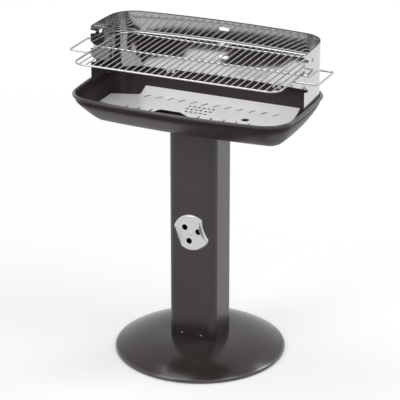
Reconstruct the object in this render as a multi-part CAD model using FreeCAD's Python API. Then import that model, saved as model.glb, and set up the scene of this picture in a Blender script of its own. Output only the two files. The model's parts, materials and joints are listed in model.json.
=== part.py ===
import FreeCAD, Part
import math
import os

# Pedestal charcoal barbecue: a round dished foot, a folded sheet column with a turning
# air vent, a deep-drawn fire bowl with a curled rim, a loose charcoal tray, a
# three-sided wind shield with three rows of slots and a wire cooking grid whose
# carrying rod is bent into both handles.
# All sizes are in millimetres. +Z is up, the front is -Y, and the origin is on the
# floor under the middle of the foot.

V = FreeCAD.Vector
UP = V(0, 0, 1)

# Foot
base_radius = 225.0
base_sheet = 1.5
base_curl_radius = 6.0
base_curl_flat = 0.4
base_curl_end_deg = -150.0
base_seat_radius = 82.0
base_seat_height = 51.0

# Column
column_width = 132.0
column_depth = 112.0
column_corner = 20.0
column_sheet = 1.2
column_height = 580.5
seam_offset = 8.0
seam_slit = 0.8
seam_lap = 16.0
seam_gap = 0.2
seam_rivet_count = 6
seam_rivet_radius = 2.4
seam_rivet_head = 4.5
seam_rivet_margin = 50.0

# Brackets inside both ends of the column
bracket_sheet = 2.0
bracket_clearance = 0.3
bracket_flange = 26.0
bracket_flange_width = 78.0
bolt_spacing_x = 84.0
bolt_spacing_y = 66.0
bolt_radius = 3.0
bolt_clearance = 0.3
bolt_head_flats = 10.0
bolt_head_height = 4.0
bolt_tail = 4.0
nut_height = 5.0
washer_radius = 8.0
washer_thickness = 1.6
draught_radius = 30.0
draught_clearance = 2.0

# Screws that hold the column to the foot bracket
foot_screw_spacing = 54.0
foot_screw_height = 7.5
screw_radius = 2.0
screw_clearance = 0.05
screw_head_radius = 3.6
screw_head_height = 2.2
screw_length = 9.0

# Air vent
vent_height = 347.0
vent_radius = 49.5
vent_rise = 4.0
vent_bevel = 4.5
vent_sheet = 1.0
vent_grip_rise = 9.0
vent_gap = 0.4
vent_cut_radius = 80.0
vent_cut_depth = 12.6
vent_turn_deg = 18.5
vent_cut_turn_deg = 20.0
vent_hole_count = 3
vent_hole_circle = 22.0
vent_hole_radius = 8.0
vent_rivet_radius = 3.0
vent_rivet_fit = 0.05
vent_rivet_head = 5.5
vent_rivet_head_height = 1.8
vent_spring_radius = 9.0
vent_spring_sheet = 0.6

# Fire bowl: outer edge of the rim, seen from above
bowl_half_length = 302.5
bowl_half_depth = 178.0
bowl_long_radius = 2200.0
bowl_end_radius = 1250.0
bowl_corner = 77.0
bowl_centre_y = -17.0
bowl_sheet = 1.2
rim_height = 715.5
rim_curl_radius = 4.7
rim_curl_end_deg = -100.0
collar_height = 15.0
pan_end_lean = 28.5
pan_end_reach = 27.0
pan_side_lean = 61.5
pan_side_reach = 25.0
pan_corner_lean = 8.0
pan_corner_reach = 49.5
pan_steps = 4

# Charcoal tray
tray_height = 33.0
tray_sheet = 1.0
tray_seat_gap = 0.3
tray_end_inset = 40.5
tray_fold = 70.0
tray_band = 36.0
tray_band_rise = 8.0
tray_band_cut = 4.0
tray_ear_left = 72.0
tray_ear_right = 22.0
tray_ear_half_width = 33.0
tray_ear_root_half_width = 57.0
tray_flange_bend = 3.0
slot_width = 4.0
slot_reach = 25.0
slot_angle_deg = 64.0
back_slot_count = 12
back_slot_left_inset = 25.0
back_slot_right_inset = 48.6
back_slot_inset = 16.0
front_slot_pitch = 34.0
front_left_first_x = -180.0
front_left_count = 3
front_right_first_x = 20.0
front_right_count = 5
front_slot_reach = 27.0
front_slot_inset = 27.0
notch_floor_left = -93.0
notch_floor_right = -37.0
notch_mouth_left = -109.0
notch_mouth_right = 30.0
notch_depth = 45.0
ash_hole_radius = 4.2
ash_hole_pitch_x = 13.0
ash_hole_pitch_y = 19.5
ash_hole_rows = (5, 6, 6)
ash_hole_y = -10.0
finger_hole_radius = 10.0
finger_hole_x = 135.0
finger_hole_y = -27.0

# Wind shield: its top and its rows of slots are heights above the rim of the bowl
shield_sheet = 1.0
shield_gap = 0.5
shield_top = 141.5
shield_lap = 9.5
shield_front = -30.0
shield_nose = 7.0
tab_width = 24.0
tab_length = 9.5
tab_screw_drop = 14.2
tab_back_offset = 150.0
tab_side_offset = 84.0
tab_nut_gap = 0.02
level_count = 3
level_lowest = 42.3
level_top_drop = 23.2
seat_y = -5.0
seat_radius = 3.1
seat_gap = 0.3
seat_slope = 0.213
flare_mouth = 20.0
flare_middle = 10.5
top_flare_mouth = 13.0
top_flare_middle = 7.5
hook_slot_width = 28.0
hook_slot_height = 9.0
eyelet_y = 25.0
eyelet_drop = 6.0
eyelet_width = 16.0
eyelet_height = 9.0

# Cooking grid, on the middle row of slots
grid_level = 1
rod_radius = 2.5
frame_radius = 2.5
wire_radius = 1.6
grid_end_gap = 12.6
grid_front_inset = 29.0
grid_shield_gap = 4.0
grid_front_corner = 30.0
grid_rear_corner = 52.0
grid_bow_share = 0.6826
wire_count = 30
rear_rod_setback = 15.0
rear_rod_radius = 2.25
handle_reach = 36.5
handle_back = 50.0
handle_front = -58.0
handle_bend = 9.0
handle_wall_gap = 3.0
hook_half_width = 10.0
hook_radius = 2.0
hook_bend = 5.0
hook_past_shield = 8.0

# Places that follow from the sizes above
column_top = base_seat_height + column_height
pan_top = rim_height - rim_curl_radius - collar_height
pan_bottom = column_top
pan_depth = pan_top - pan_bottom
wall_outer_inset = 2 * rim_curl_radius - bowl_sheet
wall_inner_inset = 2 * rim_curl_radius
shield_outer_inset = wall_inner_inset + shield_gap
shield_inner_inset = shield_outer_inset + shield_sheet
shield_bottom = rim_height - shield_lap
tray_bottom = pan_bottom + tray_height
tray_half_length = bowl_half_length - tray_end_inset
tray_step_left = tray_half_length - tray_ear_left
tray_step_right = tray_half_length - tray_ear_right
back_slot_first_x = -tray_step_left + back_slot_left_inset
back_slot_last_x = tray_step_right - back_slot_right_inset
back_slot_pitch = (back_slot_last_x - back_slot_first_x) / (back_slot_count - 1)
shield_top_z = rim_height + shield_top
level_pitch = (shield_top - level_lowest - level_top_drop) / (level_count - 1)
level_lowest_z = rim_height + level_lowest
seat_z = level_lowest_z + grid_level * level_pitch
grid_rod_z = seat_z - seat_radius + rod_radius + seat_gap
shield_back = bowl_centre_y + bowl_half_depth - shield_outer_inset
handle_end = bowl_half_length + handle_reach
grid_half_length = bowl_half_length - shield_inner_inset - grid_end_gap - frame_radius
grid_front = bowl_centre_y - bowl_half_depth + grid_front_inset
grid_rear_inset = shield_inner_inset + grid_shield_gap + frame_radius
grid_bow_radius = bowl_long_radius - grid_rear_inset
grid_bow_turn = math.asin(grid_bow_share * grid_half_length / grid_bow_radius)
grid_rear_bow = grid_half_length * math.tan(grid_bow_turn)
column_front = -column_depth / 2
vent_face = column_front - vent_gap - vent_rise


def polar(centre, radius, angle, z=0.0):
    return V(centre[0] + radius * math.cos(angle), centre[1] + radius * math.sin(angle), z)


def arc_edge(centre, radius, start, end, z=0.0):
    """Level arc about a centre, from one angle to another."""
    middle = (start + end) / 2
    return Part.Arc(polar(centre, radius, start, z), polar(centre, radius, middle, z),
                    polar(centre, radius, end, z)).toShape()


def circles_meet(c1, r1, c2, r2):
    """The two points that lie r1 from c1 and r2 from c2."""
    dx = c2[0] - c1[0]
    dy = c2[1] - c1[1]
    d = math.hypot(dx, dy)
    along = (d * d + r1 * r1 - r2 * r2) / (2 * d)
    off = math.sqrt(r1 * r1 - along * along)
    mid = (c1[0] + along * dx / d, c1[1] + along * dy / d)
    return ((mid[0] - off * dy / d, mid[1] + off * dx / d),
            (mid[0] + off * dy / d, mid[1] - off * dx / d))


def barrel_arcs(half_length, half_depth, corner, inset=0.0):
    """The bowl's outline: four bowed sides and four tangent corners, as arcs."""
    long_centre = bowl_half_depth - bowl_long_radius
    end_centre = bowl_half_length - bowl_end_radius
    long_radius = half_depth - long_centre
    end_radius = half_length - end_centre
    near, far = circles_meet((0, long_centre), long_radius - corner,
                             (end_centre, 0), end_radius - corner)
    cx, cy = near if near[1] > 0 else far
    long_angle = math.atan2(cy - long_centre, cx)
    end_angle = math.atan2(cy, cx - end_centre)
    arcs = []
    for turn, centre, radius, start, end in (
            (0, (end_centre, 0), end_radius, -end_angle, end_angle),
            (0, (cx, cy), corner, end_angle, long_angle),
            (0, (0, long_centre), long_radius, long_angle, math.pi - long_angle),
            (0, (-cx, cy), corner, math.pi - long_angle, math.pi - end_angle),
            (1, (end_centre, 0), end_radius, -end_angle, end_angle),
            (1, (cx, cy), corner, end_angle, long_angle),
            (1, (0, long_centre), long_radius, long_angle, math.pi - long_angle),
            (1, (-cx, cy), corner, math.pi - long_angle, math.pi - end_angle)):
        sign = -1 if turn else 1
        arcs.append(((sign * centre[0], sign * centre[1] + bowl_centre_y), radius - inset,
                     start + turn * math.pi, end + turn * math.pi))
    return arcs


def rim_arcs(inset=0.0):
    return barrel_arcs(bowl_half_length, bowl_half_depth, bowl_corner, inset)


def arcs_wire(arcs, z):
    return Part.Wire([arc_edge(c, r, a, b, z) for c, r, a, b in arcs])


def prism(wire, height):
    return Part.Face(wire).extrude(V(0, 0, height))


def swept_round_rim(edges_at):
    """One section, carried round the bowl's outline arc by arc."""
    ring = None
    for centre, radius, start, end in rim_arcs():
        outward = V(math.cos(start), math.sin(start), 0)
        origin = polar(centre, radius, start)
        face = Part.Face(Part.Wire(edges_at(origin, outward)))
        piece = face.revolve(V(centre[0], centre[1], 0), UP, math.degrees(end - start))
        ring = piece if ring is None else ring.fuse(piece)
    return ring.removeSplitter()


def rounded_rectangle(width, depth, corner, z):
    x = width / 2 - corner
    y = depth / 2 - corner
    edges = []
    quarter = math.pi / 2
    corners = ((x, y, 0), (-x, y, 1), (-x, -y, 2), (x, -y, 3))
    for i, (cx, cy, turn) in enumerate(corners):
        edges.append(arc_edge((cx, cy), corner, turn * quarter, (turn + 1) * quarter, z))
        nx, ny, following = corners[(i + 1) % 4]
        edges.append(Part.makeLine(polar((cx, cy), corner, (turn + 1) * quarter, z),
                                   polar((nx, ny), corner, following * quarter, z)))
    return Part.Wire(edges)


def polygon_prism(points, z, height):
    corners = [V(x, y, z) for x, y in points]
    return Part.Face(Part.makePolygon(corners + corners[:1])).extrude(V(0, 0, height))


def cylinder(radius, start, end):
    along = end - start
    return Part.makeCylinder(radius, along.Length, start, along)


def hexagon_prism(flats, start, direction, height):
    """Six-sided head or nut with its first face at start."""
    corners = []
    for i in range(7):
        angle = math.radians(60 * i)
        reach = flats / math.sqrt(3)
        corners.append(V(reach * math.cos(angle), reach * math.sin(angle), 0))
    shape = Part.Face(Part.makePolygon(corners)).extrude(V(0, 0, height))
    shape.Placement = FreeCAD.Placement(start, FreeCAD.Rotation(UP, direction))
    return shape


def domed_head(radius, height, start, direction):
    """Round head: a flat seat under a shallow dome."""
    ball = (radius * radius + height * height) / (2 * height)
    top = Part.Arc(V(radius, 0, 0), V(ball * math.sin(math.asin(radius / ball) / 2), 0,
                                      ball * math.cos(math.asin(radius / ball) / 2) + height - ball),
                   V(0, 0, height)).toShape()
    wire = Part.Wire([Part.makeLine(V(0, 0, 0), V(radius, 0, 0)), top,
                      Part.makeLine(V(0, 0, height), V(0, 0, 0))])
    shape = Part.Face(wire).revolve(V(0, 0, 0), UP, 360)
    shape.Placement = FreeCAD.Placement(start, FreeCAD.Rotation(UP, direction))
    return shape


def bent_rod(points, bends, radius, closed=False):
    """Round wire through level points, with one bend radius for each inner point."""
    count = len(points)
    starts = [V(p) for p in points]
    ends = [V(p) for p in points]
    pieces = []
    corners = range(count) if closed else range(1, count - 1)
    for i in corners:
        here = points[i]
        back = (points[i - 1] - here).normalize()
        ahead = (points[(i + 1) % count] - here).normalize()
        half = back.getAngle(ahead) / 2
        reach = bends[i] / math.tan(half)
        ends[i] = here + back * reach
        starts[i] = here + ahead * reach
        centre = here + (back + ahead).normalize() * (bends[i] / math.sin(half))
        axis = back.cross(ahead).normalize()
        ring = Part.Face(Part.Wire(Part.makeCircle(radius, ends[i], back)))
        pieces.append(ring.revolve(centre, axis * -1, 180 - math.degrees(2 * half)))
    for i in range(count if closed else count - 1):
        following = (i + 1) % count
        pieces.append(cylinder(radius, starts[i], ends[following]))
    rod = pieces[0].multiFuse(pieces[1:])
    return rod.removeSplitter()


def group(shapes):
    return Part.makeCompound(shapes)


# Foot plate: one dished disc with its edge curled under

def make_base_plate():
    curl = (base_radius - base_curl_radius, base_curl_radius - base_curl_flat)
    run = curl[0] - base_seat_radius
    rise = base_seat_height - curl[1]
    dome_radius = ((run * run + rise * rise - base_curl_radius ** 2)
                   / (2 * (rise - base_curl_radius)))
    dome = (base_seat_radius, base_seat_height - dome_radius)
    join = math.atan2(curl[1] - dome[1], curl[0] - dome[0])
    end = math.radians(base_curl_end_deg)

    def at(centre, radius, angle):
        return V(centre[0] + radius * math.cos(angle), 0, centre[1] + radius * math.sin(angle))

    def arc(centre, radius, first, last):
        return Part.Arc(at(centre, radius, first), at(centre, radius, (first + last) / 2),
                        at(centre, radius, last)).toShape()

    inner_curl = base_curl_radius - base_sheet
    inner_dome = dome_radius - base_sheet
    top = V(0, 0, base_seat_height)
    under = V(0, 0, base_seat_height - base_sheet)
    edges = [
        Part.makeLine(top, at(dome, dome_radius, math.pi / 2)),
        arc(dome, dome_radius, math.pi / 2, join),
        arc(curl, base_curl_radius, join, end),
        Part.makeLine(at(curl, base_curl_radius, end), at(curl, inner_curl, end)),
        arc(curl, inner_curl, end, join),
        arc(dome, inner_dome, join, math.pi / 2),
        Part.makeLine(at(dome, inner_dome, math.pi / 2), under),
        Part.makeLine(under, top),
    ]
    plate = Part.Face(Part.Wire(edges)).revolve(V(0, 0, 0), UP, 360)
    floor = Part.makeCylinder(2 * base_radius, base_radius, V(0, 0, -base_radius))
    plate = plate.cut(floor)
    for x, y in bolt_places():
        plate = plate.cut(bolt_hole(x, y, base_seat_height))
    return plate


def bolt_places():
    return [(sx * bolt_spacing_x / 2, sy * bolt_spacing_y / 2)
            for sx in (-1, 1) for sy in (-1, 1)]


def bolt_hole(x, y, z):
    reach = base_sheet + bracket_sheet + bowl_sheet
    return cylinder(bolt_radius + bolt_clearance, V(x, y, z - reach), V(x, y, z + reach))


def joint_bolts(low, high, head_on_top):
    """Four hexagon bolts that clamp what lies between two heights."""
    bolts = []
    for x, y in bolt_places():
        if head_on_top:
            bottom = low - washer_thickness - nut_height - bolt_tail
            head = hexagon_prism(bolt_head_flats, V(x, y, high + washer_thickness), UP,
                                 bolt_head_height)
            shank = cylinder(bolt_radius, V(x, y, bottom), V(x, y, high + washer_thickness))
        else:
            top = high + washer_thickness + nut_height + bolt_tail
            head = hexagon_prism(bolt_head_flats, V(x, y, low - bolt_head_height), UP,
                                 bolt_head_height)
            shank = cylinder(bolt_radius, V(x, y, low), V(x, y, top))
        bolts.append(head.fuse(shank).removeSplitter())
    return group(bolts)


def joint_nuts(z):
    nuts = []
    for x, y in bolt_places():
        bore = cylinder(bolt_radius + screw_clearance, V(x, y, z), V(x, y, z + nut_height))
        nuts.append(hexagon_prism(bolt_head_flats, V(x, y, z), UP, nut_height).cut(bore))
    return group(nuts)


def joint_washers(z):
    washers = []
    for x, y in bolt_places():
        disc = cylinder(washer_radius, V(x, y, z), V(x, y, z + washer_thickness))
        bore = cylinder(bolt_radius + bolt_clearance, V(x, y, z), V(x, y, z + washer_thickness))
        washers.append(disc.cut(bore))
    return group(washers)


# Column: one folded sheet, lapped and riveted down the middle of its back

def column_inner():
    return (column_width - 2 * column_sheet, column_depth - 2 * column_sheet,
            column_corner - column_sheet)


def foot_screw_places():
    return [(sx * foot_screw_spacing / 2, sy)
            for sx in (-1, 1) for sy in (-1, 1)]


def foot_screw_hole(x, side, radius):
    z = base_seat_height + foot_screw_height
    reach = column_depth / 2 + screw_head_height
    return cylinder(radius, V(x, side * (reach - screw_length - screw_head_height), z),
                    V(x, side * reach, z))


def vent_hole_places():
    places = []
    for i in range(vent_hole_count):
        angle = math.radians(vent_turn_deg + 360.0 * i / vent_hole_count)
        places.append((vent_hole_circle * math.cos(angle), vent_hole_circle * math.sin(angle)))
    return places


def vent_holes(first_y, last_y):
    return [cylinder(vent_hole_radius, V(x, first_y, vent_height + z), V(x, last_y, vent_height + z))
            for x, z in vent_hole_places()]


def seam_rivet_heights():
    span = column_height - 2 * seam_rivet_margin
    return [base_seat_height + seam_rivet_margin + span * i / (seam_rivet_count - 1)
            for i in range(seam_rivet_count)]


def seam_rivet_x():
    return seam_offset + seam_slit + seam_lap / 2


def make_column():
    outside = prism(rounded_rectangle(column_width, column_depth, column_corner,
                                      base_seat_height), column_height)
    width, depth, corner = column_inner()
    inside = prism(rounded_rectangle(width, depth, corner, base_seat_height), column_height)
    tube = outside.cut(inside)
    back = depth / 2
    slit = Part.makeBox(seam_slit, 4 * column_sheet, column_height,
                        V(seam_offset, back - column_sheet, base_seat_height))
    tube = tube.cut(slit)
    step = seam_offset - seam_lap / 4
    end = seam_offset + seam_slit + seam_lap
    lap = polygon_prism([(-seam_lap / 2, back), (-seam_lap / 2, back - column_sheet),
                         (end, back - column_sheet - seam_gap), (end, back - seam_gap),
                         (seam_offset, back - seam_gap), (step, back)],
                        base_seat_height, column_height)
    tube = tube.fuse(lap).removeSplitter()
    for z in seam_rivet_heights():
        x = seam_rivet_x()
        tube = tube.cut(cylinder(seam_rivet_radius + screw_clearance, V(x, back - 9, z),
                                 V(x, back + 9, z)))
    for x, side in foot_screw_places():
        tube = tube.cut(foot_screw_hole(x, side, screw_radius + bolt_clearance))
    for hole in vent_holes(column_front - column_sheet, column_front + 3 * column_sheet):
        tube = tube.cut(hole)
    rivet = cylinder(vent_rivet_radius + vent_rivet_fit, V(0, column_front - column_sheet, vent_height),
                     V(0, column_front + 3 * column_sheet, vent_height))
    return tube.cut(rivet)


def make_seam_rivets():
    rivets = []
    back = column_depth / 2
    inside = back - 2 * column_sheet - seam_gap
    for z in seam_rivet_heights():
        x = seam_rivet_x()
        shank = cylinder(seam_rivet_radius, V(x, inside, z), V(x, back, z))
        head = domed_head(seam_rivet_head, 1.4, V(x, back, z), V(0, 1, 0))
        tail = domed_head(seam_rivet_head * 0.8, 1.4, V(x, inside, z), V(0, -1, 0))
        rivets.append(shank.fuse(head).fuse(tail).removeSplitter())
    return group(rivets)


def end_bracket(seat_z, up):
    """Plate that fills the column's end, with two flanges folded along its inner faces."""
    width, depth, corner = column_inner()
    plate_z = seat_z if up else seat_z - bracket_sheet
    plate = prism(rounded_rectangle(width - 2 * bracket_clearance, depth - 2 * bracket_clearance,
                                    corner - bracket_clearance, plate_z), bracket_sheet)
    flange_z = seat_z if up else seat_z - bracket_flange
    for side in (-1, 1):
        if up:
            y = side * depth / 2 - (bracket_sheet if side > 0 else 0)
            flange = Part.makeBox(bracket_flange_width, bracket_sheet, bracket_flange,
                                  V(-bracket_flange_width / 2, y, flange_z))
        else:
            x = side * width / 2 - (bracket_sheet if side > 0 else 0)
            flange = Part.makeBox(bracket_sheet, bracket_flange_width * 0.8, bracket_flange,
                                  V(x, -bracket_flange_width * 0.4, flange_z))
        plate = plate.fuse(flange)
    for x, y in bolt_places():
        plate = plate.cut(bolt_hole(x, y, plate_z))
    return plate.removeSplitter()


def make_foot_bracket():
    bracket = end_bracket(base_seat_height, True)
    for x, side in foot_screw_places():
        bracket = bracket.cut(foot_screw_hole(x, side, screw_radius + screw_clearance))
    lap = Part.makeBox(2 * seam_lap + seam_offset, 2 * bracket_sheet, column_height,
                       V(-seam_lap / 2 - 1, column_inner()[1] / 2 - column_sheet - seam_gap
                         - bracket_clearance, base_seat_height))
    return bracket.cut(lap)


def make_head_bracket():
    bracket = end_bracket(column_top, False)
    hole = cylinder(draught_radius + draught_clearance, V(0, 0, column_top - 2 * bracket_sheet),
                    V(0, 0, column_top))
    lap = Part.makeBox(2 * seam_lap + seam_offset, 2 * bracket_sheet, column_height,
                       V(-seam_lap / 2 - 1, column_inner()[1] / 2 - column_sheet - seam_gap
                         - bracket_clearance, base_seat_height))
    return bracket.cut(hole).cut(lap)


def make_foot_screws():
    screws = []
    z = base_seat_height + foot_screw_height
    for x, side in foot_screw_places():
        seat = V(x, side * column_depth / 2, z)
        shank = cylinder(screw_radius, V(x, side * (column_depth / 2 - screw_length), z), seat)
        head = domed_head(screw_head_radius, screw_head_height, seat, V(0, side, 0))
        screws.append(shank.fuse(head).removeSplitter())
    return group(screws)


# Air vent: a pressed disc with two finger recesses, turning on one rivet

def vent_outline(shrink, y):
    """Disc outline: two convex arcs and two hollow finger recesses."""
    radius = vent_radius - shrink
    cut = vent_cut_radius + shrink
    away = vent_radius + vent_cut_radius - vent_cut_depth
    tip = circles_meet((0, 0), radius, (away, 0), cut)[0]
    tip_angle = abs(math.atan2(tip[1], tip[0]))
    cut_angle = abs(math.atan2(tip[1], away - tip[0]))

    def at(centre_x, r, angle):
        turned = math.radians(vent_cut_turn_deg)
        px = centre_x + r * math.cos(angle)
        pz = r * math.sin(angle)
        return V(px * math.cos(turned) - pz * math.sin(turned), y,
                 vent_height + px * math.sin(turned) + pz * math.cos(turned))

    edges = []
    for flip in (0, math.pi):
        side = 1 if flip == 0 else -1
        edges.append(Part.Arc(at(side * away, cut, math.pi + flip + cut_angle),
                              at(side * away, cut, math.pi + flip),
                              at(side * away, cut, math.pi + flip - cut_angle)).toShape())
        edges.append(Part.Arc(at(0, radius, tip_angle + flip),
                              at(0, radius, math.pi / 2 + flip),
                              at(0, radius, math.pi - tip_angle + flip)).toShape())
    return Part.Wire(edges)


def vent_grips(front):
    """Finger grips: the disc's edge turned outwards along both hollow recesses."""
    radius = vent_radius - vent_bevel
    cut = vent_cut_radius + vent_bevel
    away = vent_radius + vent_cut_radius - vent_cut_depth
    tip = circles_meet((0, 0), radius, (away, 0), cut)[0]
    reach = abs(tip[1])
    low = front + vent_sheet
    high = front - vent_grip_rise
    grips = []
    for side in (-1, 1):
        centre = V(side * away, 0, 0)
        tube = Part.makeCylinder(cut + vent_sheet, low - high, V(centre.x, low, 0), V(0, -1, 0))
        tube = tube.cut(Part.makeCylinder(cut, low - high, V(centre.x, low, 0), V(0, -1, 0)))
        crest = Part.Wire([
            Part.makeLine(V(0, low, -reach), V(0, front, -reach)),
            Part.Arc(V(0, front, -reach), V(0, high, 0), V(0, front, reach)).toShape(),
            Part.makeLine(V(0, front, reach), V(0, low, reach)),
            Part.makeLine(V(0, low, reach), V(0, low, -reach))])
        grip = tube.common(Part.Face(crest).extrude(V(side * vent_radius, 0, 0)))
        grip.rotate(V(0, 0, 0), V(0, -1, 0), vent_cut_turn_deg)
        grip.translate(V(0, 0, vent_height))
        grips.append(grip)
    return grips


def make_vent_disc():
    back = column_front - vent_gap
    front = back - vent_rise
    shell = Part.makeLoft([vent_outline(0, back), vent_outline(vent_bevel, front)], True, True)
    hollow = Part.makeLoft([vent_outline(vent_sheet * 1.4, back),
                            vent_outline(vent_bevel + vent_sheet * 0.6, front + vent_sheet)],
                           True, True)
    disc = shell.cut(hollow)
    for grip in vent_grips(front):
        disc = disc.fuse(grip)
    for hole in vent_holes(front - vent_rise, back + vent_rise):
        disc = disc.cut(hole)
    rivet = cylinder(vent_rivet_radius + vent_rivet_fit, V(0, front - vent_rise, vent_height),
                     V(0, back + vent_rise, vent_height))
    return disc.cut(rivet)


def make_vent_rivet():
    inside = column_front + column_sheet
    shank = cylinder(vent_rivet_radius, V(0, vent_face, vent_height), V(0, inside, vent_height))
    head = domed_head(vent_rivet_head, vent_rivet_head_height, V(0, vent_face, vent_height),
                      V(0, -1, 0))
    tail = domed_head(vent_rivet_head, vent_rivet_head_height, V(0, inside, vent_height),
                      V(0, 1, 0))
    return shank.fuse(head).fuse(tail).removeSplitter()


def make_vent_spring():
    """Dished spring washer between the column and the disc."""
    back = column_front
    front = vent_face + vent_sheet
    bore = vent_rivet_radius + bolt_clearance
    rise = back - front - bolt_clearance
    profile = Part.makePolygon([
        V(bore, 0, 0), V(bore + vent_spring_sheet, 0, 0),
        V(vent_spring_radius, 0, rise - vent_spring_sheet), V(vent_spring_radius, 0, rise),
        V(vent_spring_radius - vent_spring_sheet, 0, rise), V(bore, 0, vent_spring_sheet),
        V(bore, 0, 0)])
    spring = Part.Face(profile).revolve(V(0, 0, 0), UP, 360)
    spring.Placement = FreeCAD.Placement(V(0, back, vent_height),
                                         FreeCAD.Rotation(UP, V(0, -1, 0)))
    return spring


# Fire bowl

def pan_loft(inset, lift):
    """The drawn pan below the collar, its surface moved inwards and up."""
    wires = []
    for step in range(pan_steps + 1):
        angle = math.pi / 2 * step / pan_steps
        down = math.sin(angle)
        across = 1 - math.cos(angle)
        length = bowl_half_length - wall_outer_inset - inset
        depth = bowl_half_depth - wall_outer_inset - inset
        corner = bowl_corner - wall_outer_inset - inset
        arcs = barrel_arcs(length - pan_end_lean * down - pan_end_reach * across,
                           depth - pan_side_lean * down - pan_side_reach * across,
                           corner - pan_corner_lean * down - pan_corner_reach * across)
        wires.append(arcs_wire(arcs, pan_top - (pan_depth - lift) * down))
    return Part.makeLoft(wires, True, False)


def make_fire_bowl():
    curl_z = rim_height - rim_curl_radius
    end = math.radians(rim_curl_end_deg)
    inner = rim_curl_radius - bowl_sheet

    def section(origin, outward):
        def at(n, z):
            return origin + outward * n + V(0, 0, z)

        def on(radius, angle):
            return at(-rim_curl_radius + radius * math.cos(angle),
                      curl_z + radius * math.sin(angle))

        middle = (math.pi + end) / 2
        return [
            Part.makeLine(at(-wall_inner_inset, pan_top), at(-wall_inner_inset, curl_z)),
            Part.Arc(on(rim_curl_radius, math.pi), on(rim_curl_radius, middle),
                     on(rim_curl_radius, end)).toShape(),
            Part.makeLine(on(rim_curl_radius, end), on(inner, end)),
            Part.Arc(on(inner, end), on(inner, middle), on(inner, math.pi)).toShape(),
            Part.makeLine(at(-wall_outer_inset, curl_z), at(-wall_outer_inset, pan_top)),
            Part.makeLine(at(-wall_outer_inset, pan_top), at(-wall_inner_inset, pan_top)),
        ]

    collar = swept_round_rim(section)
    pan = pan_loft(0.0, 0.0).cut(pan_loft(bowl_sheet, bowl_sheet))
    bowl = collar.fuse(pan).removeSplitter()
    for x, y in bolt_places():
        bowl = bowl.cut(bolt_hole(x, y, pan_bottom))
    bowl = bowl.cut(cylinder(draught_radius, V(0, 0, pan_bottom - bowl_sheet),
                             V(0, 0, pan_bottom + 2 * bowl_sheet)))
    for start, outward in tab_screw_places():
        bowl = bowl.cut(cylinder(screw_radius + bolt_clearance, start - outward * 6,
                                 start + outward * 6))
    return bowl


# Charcoal tray

def slot_cutter(x, y, angle, length):
    """Upright round-ended cutter."""
    half = slot_width / 2
    along = V(math.cos(angle), math.sin(angle), 0)
    across = V(-along.y, along.x, 0)
    centre = V(x, y, tray_bottom - tray_band_rise)
    first = centre - along * (length / 2 - half)
    last = centre + along * (length / 2 - half)
    wire = Part.Wire([
        Part.makeLine(first - across * half, last - across * half),
        Part.Arc(last - across * half, last + along * half, last + across * half).toShape(),
        Part.makeLine(last + across * half, first + across * half),
        Part.Arc(first + across * half, first - along * half, first - across * half).toShape()])
    return prism(wire, 3 * tray_band_rise)


def tray_band_sheet(side):
    """Long edge of the tray, folded up, as one sloping strip."""
    slope = math.atan2(tray_band_rise, tray_band)
    thick = tray_sheet

    def at(y, z):
        return V(-tray_step_left - tray_band_cut, bowl_centre_y + side * y, tray_bottom + z)

    profile = Part.makePolygon([
        at(tray_fold, 0), at(tray_fold + tray_band, tray_band_rise),
        at(tray_fold + tray_band - thick * math.sin(slope), tray_band_rise + thick * math.cos(slope)),
        at(tray_fold - thick * math.tan(slope / 2), thick), at(tray_fold, 0)])
    strip = Part.Face(profile).extrude(V(tray_step_left + tray_step_right + tray_band_cut, 0, 0))
    outer = bowl_centre_y + side * (tray_fold + tray_band)
    fold = bowl_centre_y + side * tray_fold
    low = tray_bottom - tray_band_rise
    left = -tray_step_left
    right = tray_step_right
    return strip.common(polygon_prism([(left, fold), (left - tray_band_cut, outer),
                                       (left - tray_band_cut, outer + side * tray_band),
                                       (right - tray_band_cut, outer + side * tray_band),
                                       (right - tray_band_cut, outer), (right, fold),
                                       (right, bowl_centre_y), (left, bowl_centre_y)],
                                      low, 4 * tray_band_rise))


def tray_end_flange(side):
    """Ear's end, bent down until it stands on the bowl's curved end."""
    outer = tray_half_length
    centre = V(side * (outer - tray_flange_bend), 0, tray_bottom + tray_sheet - tray_flange_bend)
    inner = tray_flange_bend - tray_sheet
    low = pan_bottom
    turn = math.sqrt(0.5)

    def at(radius, across, up):
        return V(centre.x + side * across * radius, bowl_centre_y - tray_ear_half_width,
                 centre.z + up * radius)

    foot_outer = V(side * outer, bowl_centre_y - tray_ear_half_width, low)
    foot_inner = V(side * (outer - tray_sheet), bowl_centre_y - tray_ear_half_width, low)
    wire = Part.Wire([
        Part.Arc(at(tray_flange_bend, 0, 1), at(tray_flange_bend, turn, turn),
                 at(tray_flange_bend, 1, 0)).toShape(),
        Part.makeLine(at(tray_flange_bend, 1, 0), foot_outer),
        Part.makeLine(foot_outer, foot_inner),
        Part.makeLine(foot_inner, at(inner, 1, 0)),
        Part.Arc(at(inner, 1, 0), at(inner, turn, turn), at(inner, 0, 1)).toShape(),
        Part.makeLine(at(inner, 0, 1), at(tray_flange_bend, 0, 1))])
    return Part.Face(wire).extrude(V(0, 2 * tray_ear_half_width, 0))


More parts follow.
